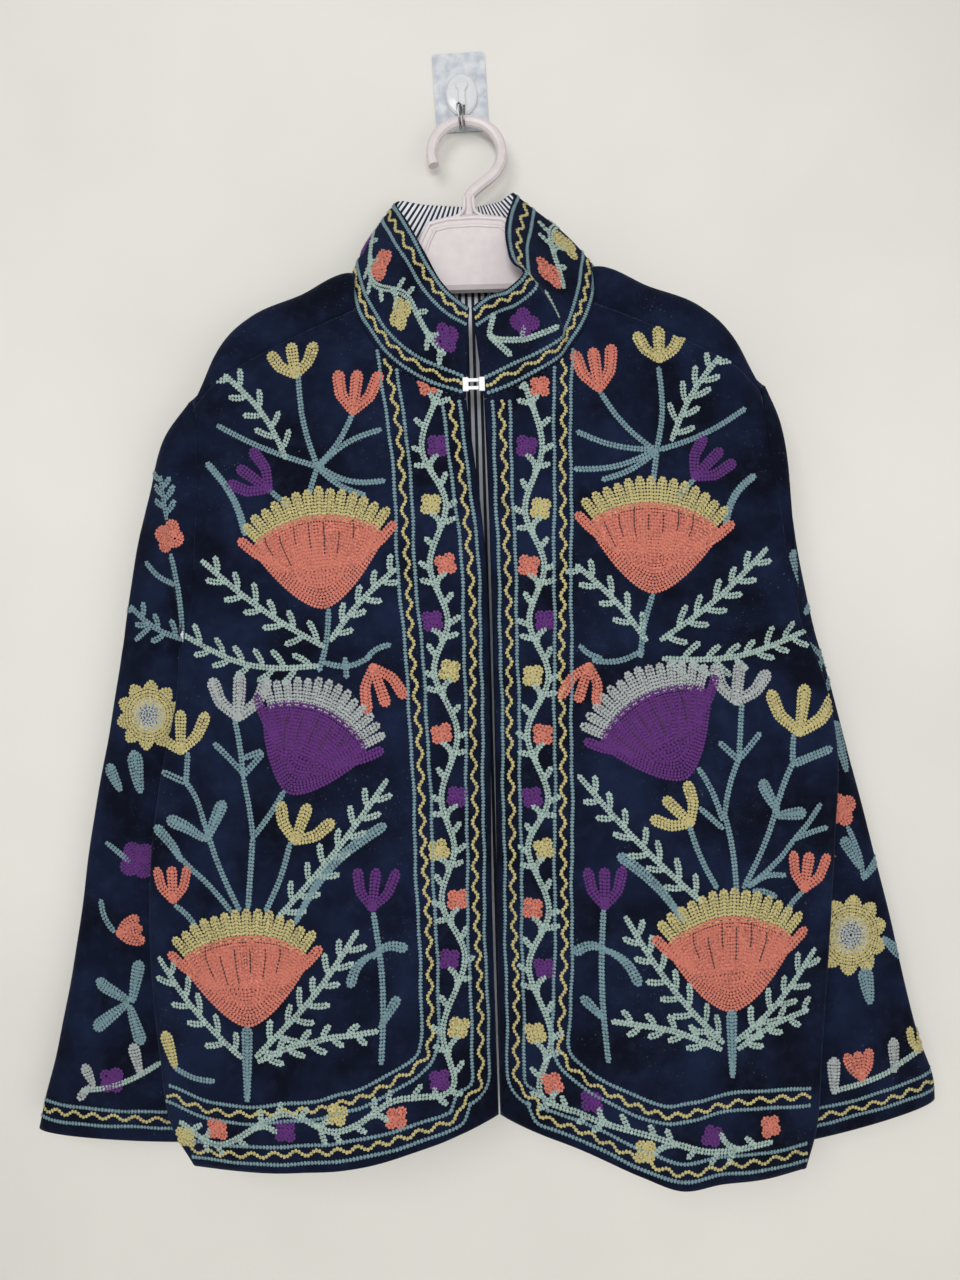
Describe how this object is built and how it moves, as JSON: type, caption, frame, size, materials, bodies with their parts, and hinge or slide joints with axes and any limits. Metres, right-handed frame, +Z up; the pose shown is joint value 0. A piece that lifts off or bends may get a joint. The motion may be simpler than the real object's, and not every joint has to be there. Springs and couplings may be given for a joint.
{
  "type": "embroidered velvet jacket on a plastic hanger and an adhesive wall hook",
  "caption": "Open-front velvet jacket with stand collar, wide sleeves and striped lining, hanging flat on a plastic hanger from an adhesive wall hook.",
  "frame": {"origin": "centre of the wall hook pad's back face, on the wall", "axes": "+Y into the wall, +Z up, +X to the wearer's left side of the jacket"},
  "size_m": [0.7592, 0.0988, 0.9472],
  "materials": {
    "velvet": "matte",
    "lining": "matte",
    "hanger_plastic": "satin",
    "clasp": "gloss",
    "hook_plastic": "gloss",
    "wire": "satin"
  },
  "bodies": {
    "root": {"front_right": "velvet", "front_left": "velvet", "back": "velvet", "back_lining": "lining", "sleeve_right": "velvet", "sleeve_left": "velvet", "collar": "velvet", "collar_lining": "lining", "clasp_hook": "clasp", "clasp_bar": "clasp", "hanger": "hanger_plastic", "hook_pad": "hook_plastic", "hook_base": "hook_plastic", "hook_wire": "wire"}
  },
  "joints": []
}
